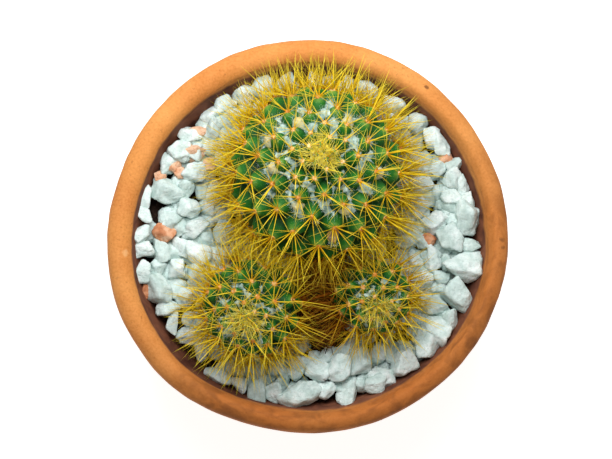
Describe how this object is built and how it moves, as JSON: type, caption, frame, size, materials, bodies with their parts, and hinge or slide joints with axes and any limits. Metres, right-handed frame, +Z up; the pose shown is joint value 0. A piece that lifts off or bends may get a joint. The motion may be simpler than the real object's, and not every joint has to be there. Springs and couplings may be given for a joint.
{
  "type": "potted mammillaria nivosa cactus",
  "caption": "Golden-spined globe cactus with smaller offsets, standing in white crushed pebbles over soil in a round terracotta pot.",
  "frame": {"origin": "centre of the box around the part, on the surface that the pot stands on", "axes": "+Z up out of the pot, +Y towards the side where the main head grows, +X to the right of the picture"},
  "size_m": [0.1496, 0.1476, 0.129],
  "materials": {
    "terracotta": "unglazed, matt, slightly grainy",
    "soil": "loose dark potting mix",
    "white_stone": "rough crushed stone, matt",
    "cactus": "satin green skin with golden spines and white wool"
  },
  "bodies": {
    "root": {"pot": "terracotta", "soil": "soil", "white_pebbles": "white_stone", "main_head": "cactus", "left_offset": "cactus", "right_offset": "cactus"}
  },
  "joints": []
}
